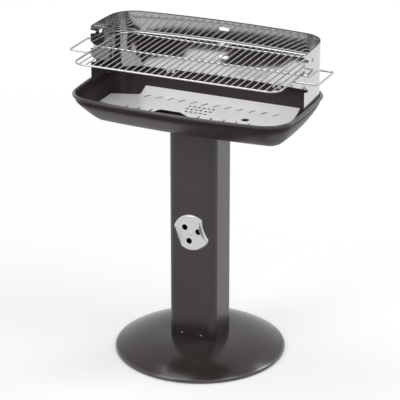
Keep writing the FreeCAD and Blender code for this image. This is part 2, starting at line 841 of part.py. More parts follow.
def make_charcoal_tray():
    ear = tray_ear_half_width
    root = tray_ear_root_half_width
    flat_end = tray_half_length - tray_flange_bend
    outline = [(-flat_end, -ear), (-tray_step_left, -root), (-tray_step_left, -tray_fold),
               (tray_step_right, -tray_fold), (tray_step_right, -root), (flat_end, -ear),
               (flat_end, ear), (tray_step_right, root), (tray_step_right, tray_fold),
               (-tray_step_left, tray_fold), (-tray_step_left, root), (-flat_end, ear)]
    tray = polygon_prism([(x, y + bowl_centre_y) for x, y in outline], tray_bottom, tray_sheet)
    for side in (-1, 1):
        tray = tray.fuse(tray_band_sheet(side)).fuse(tray_end_flange(side))
    front = bowl_centre_y - tray_fold - 2 * tray_band
    floor = bowl_centre_y - tray_fold + notch_depth
    notch = polygon_prism([(notch_mouth_left, floor - notch_depth), (notch_floor_left, floor),
                           (notch_floor_right, floor), (notch_mouth_right, floor - notch_depth),
                           (notch_mouth_right, front), (notch_mouth_left, front)],
                          tray_bottom - tray_band_rise, 4 * tray_band_rise)
    tray = tray.cut(notch)
    cavity = pan_loft(bowl_sheet + tray_seat_gap, bowl_sheet + tray_seat_gap)
    tray = tray.common(cavity)
    cutters = []
    back_y = bowl_centre_y + tray_fold - back_slot_inset
    front_y = bowl_centre_y - tray_fold + front_slot_inset
    for i in range(back_slot_count):
        cutters.append(slot_cutter(back_slot_first_x + i * back_slot_pitch, back_y,
                                   math.radians(slot_angle_deg), slot_reach))
    for first, count in ((front_left_first_x, front_left_count),
                         (front_right_first_x, front_right_count)):
        for i in range(count):
            cutters.append(slot_cutter(first + i * front_slot_pitch, front_y, math.pi / 2,
                                       front_slot_reach))
    for row, count in enumerate(ash_hole_rows):
        y = ash_hole_y + (row - 1) * ash_hole_pitch_y
        for i in range(count):
            x = (i - (count - 1) / 2) * ash_hole_pitch_x
            cutters.append(cylinder(ash_hole_radius, V(x, y, tray_bottom - tray_sheet),
                                    V(x, y, tray_bottom + 2 * tray_sheet)))
    cutters.append(cylinder(finger_hole_radius,
                            V(finger_hole_x, finger_hole_y, tray_bottom - tray_sheet),
                            V(finger_hole_x, finger_hole_y, tray_bottom + 2 * tray_sheet)))
    return tray.cut(cutters)


def pan_half_length_at(z):
    angle = math.asin(min(1.0, (pan_top - z) / pan_depth))
    return (bowl_half_length - wall_outer_inset - pan_end_lean * math.sin(angle)
            - pan_end_reach * (1 - math.cos(angle)))


# Wind shield

def tab_places():
    """Middle of each fixing tab on the rim line, with the outward direction there."""
    places = []
    long_centre = bowl_centre_y + bowl_half_depth - bowl_long_radius
    end_centre = bowl_half_length - bowl_end_radius
    for side in (-1, 1):
        angle = math.pi / 2 - side * math.asin(tab_back_offset / bowl_long_radius)
        places.append((polar((0, long_centre), bowl_long_radius, angle), polar((0, 0), 1, angle)))
        angle = math.asin(tab_side_offset / bowl_end_radius)
        point = polar((end_centre, bowl_centre_y), bowl_end_radius, angle)
        outward = polar((0, 0), 1, angle)
        places.append((V(side * point.x, point.y, 0), V(side * outward.x, outward.y, 0)))
    return places


def tab_screw_places():
    z = rim_height - tab_screw_drop
    return [(point - outward * wall_outer_inset + V(0, 0, z), outward)
            for point, outward in tab_places()]


def shield_ring(z, height):
    outer = prism(arcs_wire(rim_arcs(shield_outer_inset), z), height)
    inner = prism(arcs_wire(rim_arcs(shield_inner_inset), z), height)
    return outer.cut(inner)


def rod_slot_cutter(z, mouth, middle):
    """Slot from the front edge, falling to a round seat, under a flared lip."""
    x = -bowl_half_length
    front = shield_front - seat_radius
    floor = V(x, seat_y, z - seat_radius)
    top = V(x, seat_y, z + seat_radius)
    floor_mouth = V(x, front, floor.z + seat_slope * (seat_y - front))
    lip_middle = V(x, (shield_front + seat_y) / 2, z + middle)
    lip_mouth = V(x, shield_front, z + mouth)
    edges = [
        Part.Arc(floor, V(x, seat_y + seat_radius, z), top).toShape(),
        Part.Arc(top, lip_middle, lip_mouth).toShape(),
        Part.makeLine(lip_mouth, V(x, front, z + mouth)),
        Part.makeLine(V(x, front, z + mouth), floor_mouth),
        Part.makeLine(floor_mouth, floor),
    ]
    return Part.Face(Part.Wire(edges)).extrude(V(2 * bowl_half_length, 0, 0))


def nose_cutter():
    """What is taken off the upper front corners of the side walls."""
    x = -bowl_half_length
    low = V(x, shield_front, shield_top_z - shield_nose)
    high = V(x, shield_front + shield_nose, shield_top_z)
    turn = shield_nose * 0.33
    past = shield_nose / 2
    edges = [
        Part.Arc(low, V(x, shield_front + turn, shield_top_z - turn), high).toShape(),
        Part.makeLine(high, high + UP * past),
        Part.makeLine(high + UP * past, V(x, shield_front - past, shield_top_z + past)),
        Part.makeLine(V(x, shield_front - past, shield_top_z + past), low - V(0, past, 0)),
        Part.makeLine(low - V(0, past, 0), low),
    ]
    return Part.Face(Part.Wire(edges)).extrude(V(2 * bowl_half_length, 0, 0))


def rounded_slot_prism(width, height, centre, direction, reach):
    """Flat-sided round-ended cutter along X or Y, centred on a point."""
    half = height / 2
    run = width / 2 - half
    wide = V(0, 1, 0) if abs(direction.x) > 0.5 else V(1, 0, 0)
    start = centre - direction * (reach / 2)
    top = UP * half
    first = start - wide * run
    last = start + wide * run
    wire = Part.Wire([
        Part.makeLine(first - top, last - top),
        Part.Arc(last - top, last + wide * half, last + top).toShape(),
        Part.makeLine(last + top, first + top),
        Part.Arc(first + top, first - wide * half, first - top).toShape()])
    return Part.Face(wire).extrude(direction * reach)


def make_wind_shield():
    wall = shield_ring(shield_bottom, shield_top_z - shield_bottom)
    skirt = shield_ring(shield_bottom - tab_length, tab_length)
    for point, outward in tab_places():
        block = Part.makeBox(tab_width, 8 * rim_curl_radius, tab_length,
                             V(-tab_width / 2, -4 * rim_curl_radius, 0))
        turned = FreeCAD.Rotation(V(0, 1, 0), outward)
        block.Placement = FreeCAD.Placement(
            point - outward * shield_inner_inset + V(0, 0, shield_bottom - tab_length), turned)
        wall = wall.fuse(skirt.common(block))
    ahead = Part.makeBox(4 * bowl_half_length, 4 * bowl_half_depth, 2 * shield_top_z,
                         V(-2 * bowl_half_length, shield_front - 4 * bowl_half_depth, 0))
    wall = wall.cut(ahead).removeSplitter()
    wall = wall.cut(nose_cutter())
    for level in range(level_count):
        z = level_lowest_z + level * level_pitch
        last = level == level_count - 1
        wall = wall.cut(rod_slot_cutter(z, top_flare_mouth if last else flare_mouth,
                                        top_flare_middle if last else flare_middle))
        wall = wall.cut(rounded_slot_prism(hook_slot_width, hook_slot_height,
                                           V(0, shield_back, z), V(0, 1, 0), 12))
    top_level = level_lowest_z + (level_count - 1) * level_pitch
    wall = wall.cut(rounded_slot_prism(eyelet_width, eyelet_height,
                                       V(0, eyelet_y, top_level - eyelet_drop), V(1, 0, 0),
                                       3 * bowl_half_length))
    for start, outward in tab_screw_places():
        wall = wall.cut(cylinder(screw_radius + bolt_clearance, start - outward * 8, start))
    return wall


def make_shield_screws():
    screws = []
    grip = bowl_sheet + shield_gap + shield_sheet + nut_height * 0.7 + 2
    for start, outward in tab_screw_places():
        shank = cylinder(screw_radius, start - outward * grip, start)
        head = domed_head(screw_head_radius, screw_head_height, start, outward)
        screws.append(shank.fuse(head).removeSplitter())
    return group(screws)


def make_shield_nuts():
    nuts = []
    seat = bowl_sheet + shield_gap + shield_sheet + tab_nut_gap
    for start, outward in tab_screw_places():
        face = start - outward * seat
        nut = hexagon_prism(7.0, face, outward * -1, nut_height * 0.7)
        bore = cylinder(screw_radius + screw_clearance, face, face - outward * nut_height)
        nuts.append(nut.cut(bore))
    return group(nuts)


# Cooking grid

def wire_z():
    return grid_rod_z + rod_radius + wire_radius


def frame_z():
    return grid_rod_z + rod_radius + frame_radius


def grid_rear():
    """Middle of the frame's rear bar."""
    return bowl_centre_y + bowl_half_depth - grid_rear_inset


def rear_apex_y():
    """Where the rear bar's two slopes would meet."""
    return grid_rear() + grid_bow_radius * (1 / math.cos(grid_bow_turn) - 1)


def rear_bar_y(x):
    """Line of the rear bar: two slopes joined by one long bend."""
    if abs(x) >= grid_bow_radius * math.sin(grid_bow_turn):
        return rear_apex_y() - math.tan(grid_bow_turn) * abs(x)
    return grid_rear() - grid_bow_radius + math.sqrt(grid_bow_radius ** 2 - x * x)


def make_grid_frame():
    z = frame_z()
    apex = rear_apex_y()
    points = [V(-grid_half_length, grid_front, z), V(grid_half_length, grid_front, z),
              V(grid_half_length, apex - grid_rear_bow, z), V(0, apex, z),
              V(-grid_half_length, apex - grid_rear_bow, z)]
    bends = [grid_front_corner, grid_front_corner, grid_rear_corner, grid_bow_radius,
             grid_rear_corner]
    return bent_rod(points, bends, frame_radius, closed=True)


def wire_places():
    pitch = 2 * grid_half_length / (wire_count + 1)
    return [-grid_half_length + pitch * (i + 1) for i in range(wire_count)]


def rear_corner():
    """Centre of the frame's right rear corner."""
    tangent = grid_rear_corner * math.tan((math.pi / 2 - grid_bow_turn) / 2)
    return grid_half_length - grid_rear_corner, rear_apex_y() - grid_rear_bow - tangent


def wire_front(x):
    """Where a wire's outer side meets the front bar or the front corner."""
    over = max(0.0, abs(x) + wire_radius - grid_half_length + grid_front_corner)
    inside = grid_front_corner - frame_radius
    return grid_front + grid_front_corner - math.sqrt(inside ** 2 - over ** 2)


def wire_rear(x):
    """Where a wire's outer side meets the rear bar or the rear corner."""
    side = abs(x) + wire_radius
    centre_x, centre_y = rear_corner()
    over = side - centre_x
    if over <= grid_rear_corner * math.sin(grid_bow_turn):
        return rear_bar_y(side) - frame_radius / math.cos(grid_bow_turn)
    inside = grid_rear_corner - frame_radius
    return centre_y + math.sqrt(inside ** 2 - over ** 2)


def make_grid_wires():
    z = wire_z()
    return group([cylinder(wire_radius, V(x, wire_front(x), z), V(x, wire_rear(x), z))
                  for x in wire_places()])


def make_carrying_rod():
    """One wire: handle, slot in the left wall, across the grid, right wall, handle."""
    z = grid_rod_z
    wall = bowl_half_length - shield_outer_inset
    beside = wall + handle_wall_gap + rod_radius
    half = [V(grid_half_length - rod_radius, handle_front, z), V(handle_end, handle_front, z),
            V(handle_end, handle_back, z), V(beside, handle_back, z), V(beside, seat_y, z)]
    points = [V(-p.x, p.y, p.z) for p in half] + half[::-1]
    inner_bend = min(handle_bend, handle_wall_gap + rod_radius + 1)
    bends = [0, handle_bend, handle_bend, handle_bend, inner_bend,
             inner_bend, handle_bend, handle_bend, handle_bend, 0]
    return bent_rod(points, bends, rod_radius)


def rear_rod_y():
    return grid_rear() - rear_rod_setback


def make_rear_rod():
    z = grid_rod_z + rod_radius - rear_rod_radius
    y = rear_rod_y()
    centre_x, centre_y = rear_corner()
    half = centre_x + math.sqrt(grid_rear_corner ** 2 - (y - centre_y) ** 2)
    return cylinder(rear_rod_radius, V(-half, y, z), V(half, y, z))


def make_rear_hook():
    z = seat_z
    start = rear_rod_y()
    end = shield_back + hook_past_shield
    points = [V(-hook_half_width, start, z), V(-hook_half_width, end, z),
              V(hook_half_width, end, z), V(hook_half_width, start, z)]
    hook = bent_rod(points, [0, hook_bend, hook_bend, 0], hook_radius)
    rod_z = grid_rod_z + rod_radius - rear_rod_radius
    return hook.cut(cylinder(rear_rod_radius, V(-2 * hook_half_width, start, rod_z),
                             V(2 * hook_half_width, start, rod_z)))


def main():
    os.makedirs("parts", exist_ok=True)
    base_top = base_seat_height + bracket_sheet
    bowl_floor = pan_bottom + bowl_sheet
    head_low = column_top - bracket_sheet
    pieces = {
        "base_plate": make_base_plate(),
        "foot_bracket": make_foot_bracket(),
        "base_bolts": joint_bolts(base_seat_height - base_sheet, base_top, False),
        "base_washers": joint_washers(base_top),
        "base_nuts": joint_nuts(base_top + washer_thickness),
        "column": make_column(),
        "column_seam_rivets": make_seam_rivets(),
        "column_foot_screws": make_foot_screws(),
        "vent_disc": make_vent_disc(),
        "vent_rivet": make_vent_rivet(),
        "vent_spring_washer": make_vent_spring(),
        "column_head_bracket": make_head_bracket(),
        "bowl_bolts": joint_bolts(head_low, bowl_floor, True),
        "bowl_washers": joint_washers(bowl_floor),
        "bowl_nut_washers": joint_washers(head_low - washer_thickness),
        "bowl_nuts": joint_nuts(head_low - washer_thickness - nut_height),
        "fire_bowl": make_fire_bowl(),
        "charcoal_tray": make_charcoal_tray(),
        "wind_shield": make_wind_shield(),
        "shield_screws": make_shield_screws(),
        "shield_nuts": make_shield_nuts(),
        "grid_frame": make_grid_frame(),
        "grid_wires": make_grid_wires(),
        "grid_carrying_rod": make_carrying_rod(),
        "grid_rear_rod": make_rear_rod(),
        "grid_rear_hook": make_rear_hook(),
    }
    for name, shape in pieces.items():
        if not shape.isValid():
            raise ValueError(name + " is not a valid solid")
        shape.exportStep("parts/" + name + ".step")
        print(name, len(shape.Solids), "solids,", round(shape.Volume / 1000, 2), "cm3")


main()
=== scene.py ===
import json
import math

import bpy
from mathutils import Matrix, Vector


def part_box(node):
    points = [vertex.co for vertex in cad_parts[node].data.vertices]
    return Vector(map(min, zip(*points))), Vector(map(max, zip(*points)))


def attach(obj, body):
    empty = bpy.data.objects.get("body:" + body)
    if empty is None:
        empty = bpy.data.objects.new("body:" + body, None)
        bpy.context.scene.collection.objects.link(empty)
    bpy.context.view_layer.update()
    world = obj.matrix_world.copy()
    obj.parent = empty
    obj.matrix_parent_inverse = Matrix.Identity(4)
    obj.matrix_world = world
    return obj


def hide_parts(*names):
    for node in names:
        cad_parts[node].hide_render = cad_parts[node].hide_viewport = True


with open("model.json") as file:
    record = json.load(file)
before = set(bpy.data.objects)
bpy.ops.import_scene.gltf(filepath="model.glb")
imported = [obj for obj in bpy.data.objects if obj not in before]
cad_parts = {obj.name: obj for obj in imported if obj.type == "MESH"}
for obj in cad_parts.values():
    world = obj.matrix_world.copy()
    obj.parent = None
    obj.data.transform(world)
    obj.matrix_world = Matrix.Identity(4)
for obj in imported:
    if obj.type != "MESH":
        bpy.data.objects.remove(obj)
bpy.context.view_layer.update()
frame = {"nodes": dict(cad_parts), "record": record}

bl_info = {
    "name": "Pedestal Barbecue",
    "version": (1, 0, 0),
    "blender": (4, 5, 0),
    "location": "View3D > Sidebar > Barbecue",
    "description": "Gives the charcoal pedestal barbecue its finished sheet, wire and studio",
    "category": "Object",
}

# Places taken from the frame, in metres
FOOT_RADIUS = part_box("base_plate")[1].x
FOOT_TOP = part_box("column")[0].z
BOWL_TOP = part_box("fire_bowl")[1].z
SHIELD_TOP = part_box("wind_shield")[1].z
FRAME_LOW, FRAME_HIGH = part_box("grid_frame")
ROD_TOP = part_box("grid_carrying_rod")[1].z
REAR_ROD_LOW, REAR_ROD_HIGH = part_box("grid_rear_rod")

# Places inside the pieces that their boxes don't give
FOOT_CENTRE_RADIUS = 0.012
FOOT_CURL_END = math.radians(-150)
FRAME_WIRE_RADIUS = 0.0025
CARRYING_ROD_Y = -0.005

# Where the glossier enamel starts on a rim, and where it is full
BOWL_GLOSS = (BOWL_TOP - 0.008, BOWL_TOP - 0.004)
FOOT_GLOSS = (0.013, 0.0105)

# The band along the upper edge of the wind shield, painted dark as shade and made rougher
SHIELD_SHADE_BAND = (SHIELD_TOP - 0.0032, SHIELD_TOP - 0.0018)

# Points of a node's mesh that are closer than this are one point
WELD_GAP = 0.000004

# A face whose normal is this close to the wall's belongs to the bowed sheet
SHEET_FACE = 0.9

# Steps along the profile of the foot plate
DOME_STEPS = 16
CURL_STEPS, CURL_INSIDE_STEPS = 20, 14

# Floor: its side, the distances over which its lift grows to the full one, and the band
# in front of the barbecue over which it turns grey as painted shade, for the wind shield to
# mirror
FLOOR_SIDE = 16.0
FLOOR_LIFT_NEAR, FLOOR_LIFT_FULL = 0.5, 3.2
FLOOR_PAINTED_SHADE_FULL, FLOOR_PAINTED_SHADE_END = -1.9, -1.1
PAPER_COLOURS = ((0.865, 0.855, 0.85), (0.875, 0.865, 0.86))
NEAR_LIFT = (0.6, 0.6, 0.6)
# Grey of the painted shade on the floor in front of the barbecue
PAINTED_FRONT_SHADE = (0.6, 0.6, 0.6)
WHITE = (1.0, 1.0, 1.0)

# Lamps: name, place, height of the aim point over the origin and side length
LAMPS = (
    ("front_lamp", (-1.35, -2.6, 2.55), 0.7, 1.5),
    ("top_lamp", (-0.9, -0.1, 3.2), 0.6, 1.2),
    ("side_lamp", (1.45, -0.1, 3.05), 0.6, 1.1),
    ("rear_lamp", (1.5, 1.6, 2.05), 0.2, 0.8),
)


class BarbecueSizes(bpy.types.PropertyGroup):
    """Sizes of the pieces that are modelled here."""

    foot_sheet: bpy.props.FloatProperty(
        name="Foot sheet", description="Thickness of the dished foot plate",
        default=0.0015, min=0.0005, max=0.004, unit="LENGTH")
    foot_curl: bpy.props.FloatProperty(
        name="Foot curl", description="Outer radius of the foot plate's curled edge",
        default=0.006, min=0.002, max=0.012, unit="LENGTH")
    foot_curl_flat: bpy.props.FloatProperty(
        name="Foot flat", description="How much of the curl is pressed flat on the floor",
        default=0.0004, min=0.0, max=0.002, unit="LENGTH")
    foot_seat: bpy.props.FloatProperty(
        name="Foot seat", description="Radius of the level seat under the column",
        default=0.082, min=0.07, max=0.12, unit="LENGTH")
    foot_sides: bpy.props.IntProperty(
        name="Foot sides", description="Steps around the foot plate",
        default=192, min=48, max=512)
    rim_half_length: bpy.props.FloatProperty(
        name="Rim half length", description="From the bowl's middle to the end of its rim",
        default=0.3025, min=0.2, max=0.4, unit="LENGTH")
    rim_half_depth: bpy.props.FloatProperty(
        name="Rim half depth", description="From the bowl's middle to the back of its rim",
        default=0.178, min=0.1, max=0.3, unit="LENGTH")
    long_side_radius: bpy.props.FloatProperty(
        name="Long side radius", description="Bow of the bowl's long sides",
        default=2.2, min=0.5, max=9.0, unit="LENGTH")
    short_side_radius: bpy.props.FloatProperty(
        name="Short side radius", description="Bow of the bowl's short sides",
        default=1.25, min=0.3, max=9.0, unit="LENGTH")
    rim_corner: bpy.props.FloatProperty(
        name="Rim corner", description="Radius of the bowl's corners",
        default=0.077, min=0.02, max=0.15, unit="LENGTH")
    bowl_middle: bpy.props.FloatProperty(
        name="Bowl middle", description="How far the bowl's middle lies behind the column's",
        default=-0.017, min=-0.1, max=0.1, unit="LENGTH")
    crease: bpy.props.FloatProperty(
        name="Crease angle", description="Edges that turn by more than this stay sharp",
        default=math.radians(34), min=0.0, max=math.pi, subtype="ANGLE")
    weld_length: bpy.props.FloatProperty(
        name="Weld length", description="Length of a spot weld along the rod",
        default=0.0046, min=0.001, max=0.01, unit="LENGTH")
    weld_width: bpy.props.FloatProperty(
        name="Weld width", description="Width of a spot weld along the wire",
        default=0.0036, min=0.001, max=0.01, unit="LENGTH")
    weld_height: bpy.props.FloatProperty(
        name="Weld height", description="Height of a spot weld",
        default=0.0016, min=0.0005, max=0.004, unit="LENGTH")
    wire_count: bpy.props.IntProperty(
        name="Grid wires", description="Wires that cross the rods of the cooking grid",
        default=30, min=1, max=80)


class BarbecueColours(bpy.types.PropertyGroup):
    """Colours and gloss of the finishes."""

    enamel: bpy.props.FloatVectorProperty(
        name="Enamel", description="Dark enamel of foot, column and bowl",
        subtype="COLOR", size=3, min=0.0, max=1.0, default=(0.034, 0.0245, 0.0235))
    enamel_light: bpy.props.FloatVectorProperty(
        name="Enamel highlights", description="Slightly paler cast of the enamel",
        subtype="COLOR", size=3, min=0.0, max=1.0, default=(0.044, 0.033, 0.032))
    polished_steel: bpy.props.FloatVectorProperty(
        name="Polished steel", description="Sheet of the wind shield",
        subtype="COLOR", size=3, min=0.0, max=1.0, default=(0.53, 0.522, 0.514))
    coated_steel: bpy.props.FloatVectorProperty(
        name="Coated steel", description="Pale sheet of the charcoal tray",
        subtype="COLOR", size=3, min=0.0, max=1.0, default=(0.80, 0.803, 0.80))
    chrome: bpy.props.FloatVectorProperty(
        name="Chrome", description="Plating of the grid wires and of the handles",
        subtype="COLOR", size=3, min=0.0, max=1.0, default=(0.45, 0.445, 0.44))
    zinc: bpy.props.FloatVectorProperty(
        name="Zinc", description="Plating of screws, bolts and nuts",
        subtype="COLOR", size=3, min=0.0, max=1.0, default=(0.66, 0.67, 0.69))
    black_zinc: bpy.props.FloatVectorProperty(
        name="Black zinc", description="Plating of the small screws inside the bowl",
        subtype="COLOR", size=3, min=0.0, max=1.0, default=(0.06, 0.055, 0.052))


class BarbecueStage(bpy.types.PropertyGroup):
    """Camera, lamps and floor."""

    azimuth: bpy.props.FloatProperty(
        name="Azimuth", description="Camera's turn to the right of the front",
        default=math.radians(24.10), subtype="ANGLE")
    elevation: bpy.props.FloatProperty(
        name="Elevation", description="Camera's height above the level",
        default=math.radians(22.30), subtype="ANGLE")
    distance: bpy.props.FloatProperty(
        name="Distance", description="Camera to its aim point",
        default=5.38727, min=0.5, unit="LENGTH")
    aim: bpy.props.FloatVectorProperty(
        name="Aim", description="Point that the camera looks at",
        subtype="TRANSLATION", size=3, default=(-0.00051, -0.00023, 0.41693))
    lens: bpy.props.FloatProperty(
        name="Lens", description="Focal length in millimetres",
        default=188.18, min=10.0)
    front_lamp: bpy.props.FloatProperty(
        name="Front lamp", description="Power of the lamp to the left of the camera",
        default=22.0, min=0.0, unit="POWER")
    top_lamp: bpy.props.FloatProperty(
        name="Top lamp", description="Power of the lamp above the left side",
        default=13.0, min=0.0, unit="POWER")
    side_lamp: bpy.props.FloatProperty(
        name="Side lamp", description="Power of the lamp above the right side",
        default=15.0, min=0.0, unit="POWER")
    rear_lamp: bpy.props.FloatProperty(
        name="Rear lamp", description="Power of the lower lamp behind at the right",
        default=12.0, min=0.0, unit="POWER")
    ambient: bpy.props.FloatProperty(
        name="Ambient", description="Strength of the studio's soft light",
        default=0.42, min=0.0, max=2.0)
    floor_lift: bpy.props.FloatProperty(
        name="Floor lift", description="What the floor adds to its own light, as seen",
        default=0.54, min=0.0, max=1.0)


class Flow:
    """One output of a node. Sums and products of flows add Math nodes."""

    def __init__(self, nodes, socket):
        self.nodes = nodes
        self.socket = socket

    def maths(self, operation, first, second):
        return self.nodes.node("ShaderNodeMath", {"operation": operation},
                               {0: first, 1: second})

    def __add__(self, other):
        return self.maths("ADD", self, other)

    __radd__ = __add__

    def __sub__(self, other):
        return self.maths("SUBTRACT", self, other)

    def __rsub__(self, other):
        return self.maths("SUBTRACT", other, self)

    def __mul__(self, other):
        return self.maths("MULTIPLY", self, other)

    __rmul__ = __mul__


class Nodes:
    """Adds nodes to one tree and links them."""

    def __init__(self, tree):
        self.tree = tree

    def node(self, kind, settings, values, output=0):
        """Adds one node with its settings, then the values or flows of its sockets."""
        node = self.tree.nodes.new(kind)
        for name, value in settings.items():
            if name == "stops":
                self.set_stops(node.color_ramp, value)
            else:
                setattr(node, name, value)
        for name, value in values.items():
            self.feed(node.inputs[name], value)
        return Flow(self, node.outputs[output])

    def set_stops(self, ramp, stops):
        while len(ramp.elements) < len(stops):
            ramp.elements.new(0.5)
        for element, (place, shade) in zip(ramp.elements, stops):
            element.position = place
            element.color = (shade, shade, shade, 1.0)

    def feed(self, socket, value):
        if isinstance(value, Flow):
            self.tree.links.new(value.socket, socket)
        else:
            socket.default_value = value

    def between(self, factor, first, second):
        """Mix of two colours, each of which is a colour or a flow."""
        ends = [end if isinstance(end, Flow) else (*end, 1.0) for end in (first, second)]
        return self.node("ShaderNodeMix", {"data_type": "RGBA"},
                         {0: factor, 6: ends[0], 7: ends[1]}, 2)

    def seen(self):
        """1 for rays that show the stage itself, in the view or in metal."""
        path = self.tree.nodes.new("ShaderNodeLightPath")
        camera, glossy, through = [Flow(self, path.outputs[kind]) for kind in (
            "Is Camera Ray", "Is Glossy Ray", "Is Transmission Ray")]
        return self.node("ShaderNodeMath", {"operation": "MINIMUM"},
                         {0: camera + glossy + through, 1: 1.0})


class Finish(Nodes):
    """A procedural material on the object's own coordinates."""

    def __init__(self, name, **constants):
        self.material = bpy.data.materials.new(name)
        self.material.use_nodes = True
        super().__init__(self.material.node_tree)
        self.shader = self.tree.nodes["Principled BSDF"]
        self.place = self.node("ShaderNodeTexCoord", {}, {}, "Object")
        self.surface(**constants)

    def surface(self, **values):
        for socket, value in values.items():
            self.feed(self.shader.inputs[socket.replace("_", " ")], value)

    def along(self, axis):
        """The object's own coordinate along one axis."""
        return self.node("ShaderNodeSeparateXYZ", {}, {0: self.place}, axis)

    def rise(self, value, start, end, **settings):
        """0 at the start of a range and 1 at its end."""
        return self.node("ShaderNodeMapRange", settings,
                         {"Value": value, "From Min": start, "From Max": end})

    def stretched(self, scale):
        return self.node("ShaderNodeMapping", {}, {"Vector": self.place, "Scale": scale})

    def noise(self, scale, detail=2.0, place=None):
        return self.node("ShaderNodeTexNoise", {}, {
            "Vector": place or self.place, "Scale": scale, "Detail": detail})

    def ramp(self, value, *stops):
        return self.node("ShaderNodeValToRGB", {"stops": stops}, {"Fac": value})

    def bump(self, height, distance, strength=1.0):
        return self.node("ShaderNodeBump", {}, {
            "Height": height, "Distance": distance, "Strength": strength})


def shade(colour, factor):
    return tuple(min(1.0, c * factor) for c in colour)


def enamel_finish(name, colours, roughness, specular, rim=None):
    """Stoved enamel: two close browns under orange peel, thicker and glossier on a rim.

    The rim is a pair of heights: where the gloss starts and where it is full."""
    finish = Finish(name, Metallic=0.0, IOR=1.5, Specular_IOR_Level=specular)
    cloud = finish.noise(7.0, 3.0)
    peel = finish.noise(330.0, 1.5)
    finish.surface(
        Base_Color=finish.between(finish.ramp(cloud, (0.35, 0.0), (0.65, 1.0)),
                                  colours.enamel, colours.enamel_light),
        Roughness=roughness + 0.1 * cloud,
        Normal=finish.bump(peel, 0.00002))
    if rim:
        finish.surface(Coat_Roughness=0.12, Coat_Weight=finish.rise(finish.along("Z"), *rim))
    return finish.material


def sheet_finish(name, colour, roughness, grain, metallic, spread=0.08):
    """Coated steel sheet with fine marks along its rolling direction."""
    finish = Finish(name, Metallic=metallic)
    marks = finish.noise(1.0, 3.0, finish.stretched(grain))
    cloud = finish.noise(5.0, 2.0)
    finish.surface(
        Base_Color=finish.between(marks, shade(colour, 0.94), shade(colour, 1.05)),
        Roughness=roughness + spread * (marks + 0.5 * cloud - 0.5),
        Normal=finish.bump(marks, 0.000004))
    return finish.material


def polished_finish(name, colour):
    """Mirror-polished sheet: fine rolling marks, and a rougher band of painted shade along its
    upper edge.
    """
    finish = Finish(name, Metallic=1.0)
    marks = finish.noise(1.0, 3.0, finish.stretched((3.0, 3.0, 260.0)))
    cloud = finish.noise(5.0, 2.0)
    # Painted shade: the band along the top edge is painted dark and made rougher
    edge = finish.rise(finish.along("Z"), *SHIELD_SHADE_BAND)
    bright = finish.between(marks, shade(colour, 0.96), shade(colour, 1.04))
    finish.surface(
        Base_Color=finish.between(edge, bright, shade(colour, 0.32)),
        Roughness=0.055 + 0.03 * marks + 0.04 * cloud + 0.3 * edge,
        Normal=finish.bump(marks, 0.0000003))
    return finish.material


def plated_finish(name, colour, roughness):
    """Bright plating over drawn wire or a turned screw."""
    finish = Finish(name, Metallic=1.0)
    cloud = finish.noise(55.0, 2.0)
    fine = finish.noise(900.0, 2.0)
    finish.surface(
        Base_Color=finish.between(cloud, shade(colour, 0.9), shade(colour, 1.05)),
        Roughness=roughness + 0.08 * cloud,
        Normal=finish.bump(fine, 0.000002))
    return finish.material


def named_material(name):
    """The finish of that name, made when it is first asked for."""
    found = bpy.data.materials.get(name)
    if found:
        return found
    colours = bpy.context.scene.barbecue_colours
    steel = colours.coated_steel
    makers = {
        "dark_enamel": (enamel_finish, colours, 0.14, 0.5),
        "bowl_enamel": (enamel_finish, colours, 0.3, 0.1, BOWL_GLOSS),
        "foot_enamel": (enamel_finish, colours, 0.14, 0.38, FOOT_GLOSS),
        "shield_steel": (polished_finish, colours.polished_steel),
        "tray_steel": (sheet_finish, steel, 0.36, (5.0, 420.0, 420.0), 0.55),
        "vent_steel": (sheet_finish, shade(steel, 0.82), 0.28, (300.0, 5.0, 20.0), 0.8),
        "grid_chrome": (plated_finish, colours.chrome, 0.14),
        "black_zinc": (plated_finish, colours.black_zinc, 0.3),
        "dull_zinc": (plated_finish, shade(colours.zinc, 0.35), 0.4),
        "zinc_plating": (plated_finish, colours.zinc, 0.26),
    }
    maker, *values = makers[name]
    return maker(name, *values)


def finish_piece(piece, material):
    piece.data.materials.clear()
    piece.data.materials.append(named_material(material))


def finish_node(node, material):
    """Gives a node of the frame its finish and leaves its mesh alone."""
    for place in frame["nodes"][node].material_slots:
        place.material = named_material(material)


def only(piece):
    """Selects one piece and nothing else."""
    bpy.ops.object.select_all(action="DESELECT")
    piece.select_set(True)
    bpy.context.view_layer.objects.active = piece


def body_of_node(node):
    for body, nodes in frame["record"]["behaviour"]["bodies"].items():
        if node in nodes:
            return body
    raise ValueError("no body holds " + node)


def weighted(piece):
    """Flat sheets keep flat shading next to their rounded edges."""
    only(piece)
    modifier = piece.modifiers.new("flat_sheet", "WEIGHTED_NORMAL")
    modifier.keep_sharp = True
    bpy.ops.object.modifier_apply(modifier=modifier.name)


def smooth_node(node, name, material):
    """A welded copy of a node, shaded smooth up to the crease angle, shown in its place."""
    piece = bpy.data.objects.new(name, frame["nodes"][node].data.copy())
    bpy.context.scene.collection.objects.link(piece)
    only(piece)
    bpy.ops.object.mode_set(mode="EDIT")
    bpy.ops.mesh.select_all(action="SELECT")
    bpy.ops.mesh.remove_doubles(threshold=WELD_GAP)
    bpy.ops.object.mode_set(mode="OBJECT")
    bpy.ops.object.shade_smooth_by_angle(angle=bpy.context.scene.barbecue_sizes.crease)
    weighted(piece)
    finish_piece(piece, material)
    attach(piece, body_of_node(node))
    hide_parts(node)
    return piece


def circles_meet(first, first_radius, second, second_radius):
    """Upper right point that lies at both distances from the two centres."""
    run = Vector(second) - Vector(first)
    along = (run.length_squared + first_radius ** 2 - second_radius ** 2) / (2 * run.length)
    off = math.sqrt(first_radius ** 2 - along ** 2)
    step = run.normalized()
    ends = [Vector(first) + along * step + side * off * Vector((-step.y, step.x))
            for side in (-1, 1)]
    return max(ends, key=lambda point: point.y)


